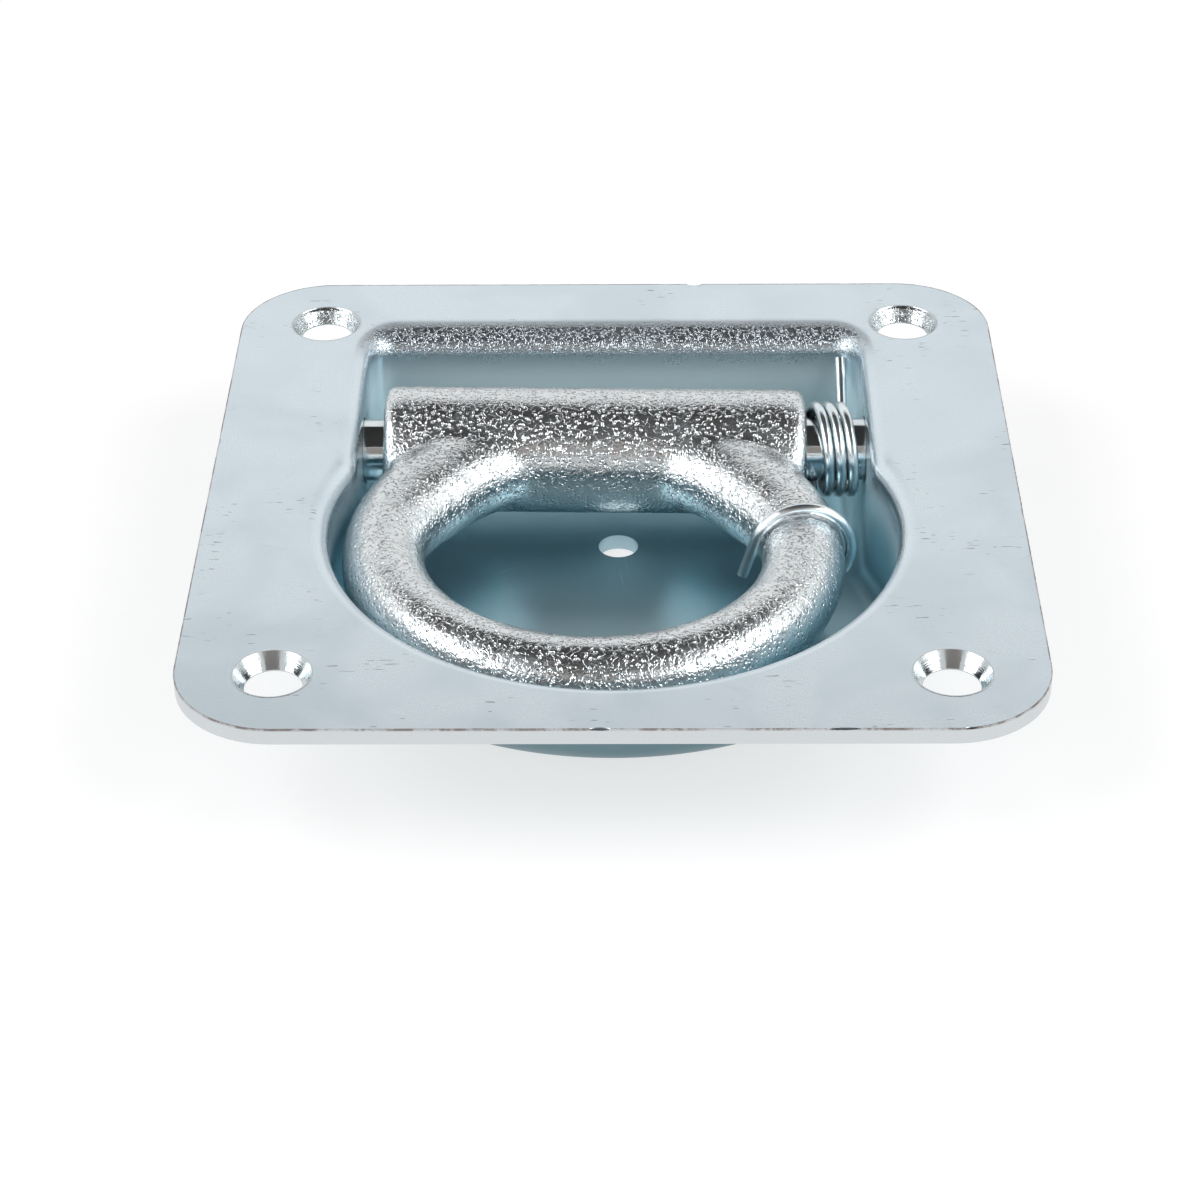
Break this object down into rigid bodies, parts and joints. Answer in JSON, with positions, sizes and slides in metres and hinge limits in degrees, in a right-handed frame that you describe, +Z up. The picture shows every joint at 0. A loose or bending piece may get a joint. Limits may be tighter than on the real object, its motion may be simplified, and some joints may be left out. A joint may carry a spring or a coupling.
{
  "type": "recessed ring tie down",
  "caption": "Recessed tie down: a pressed steel pan with a screw flange holds a forged round lashing ring on a cross pin, and a torsion spring keeps the ring folded flat.",
  "frame": {"origin": "under the middle of the flange, at the level of the pan's underside", "axes": "+Z up out of the floor that the pan is sunk in; the folded ring points to -Y and hinges at the +Y side; +X is the spring's side"},
  "size_m": [0.12, 0.1218, 0.0252],
  "materials": {
    "zinc_sheet": "pressed sheet steel, bright zinc with a light blue passivation, satin with fine scratches",
    "zinc_forging": "forged steel, bright zinc over a pebbled forging skin",
    "zinc_pin": "smooth round bar, bright zinc",
    "spring_wire": "drawn spring wire, bright zinc"
  },
  "bodies": {
    "base": {"base_plate": "zinc_sheet", "hinge_pin": "zinc_pin", "torsion_spring": "spring_wire"},
    "ring": {"lashing_ring": "zinc_forging"}
  },
  "joints": [
    {"name": "ring_hinge", "type": "hinge", "parent": "base", "child": "ring", "pos_m": [0, 0.0239, 0.0155], "axis": [-1, 0, 0], "range_deg": [0, 143], "stiffness_Nm_per_rad": 0.05, "springref_deg": -57.3, "deforming": ["torsion_spring"]}
  ]
}
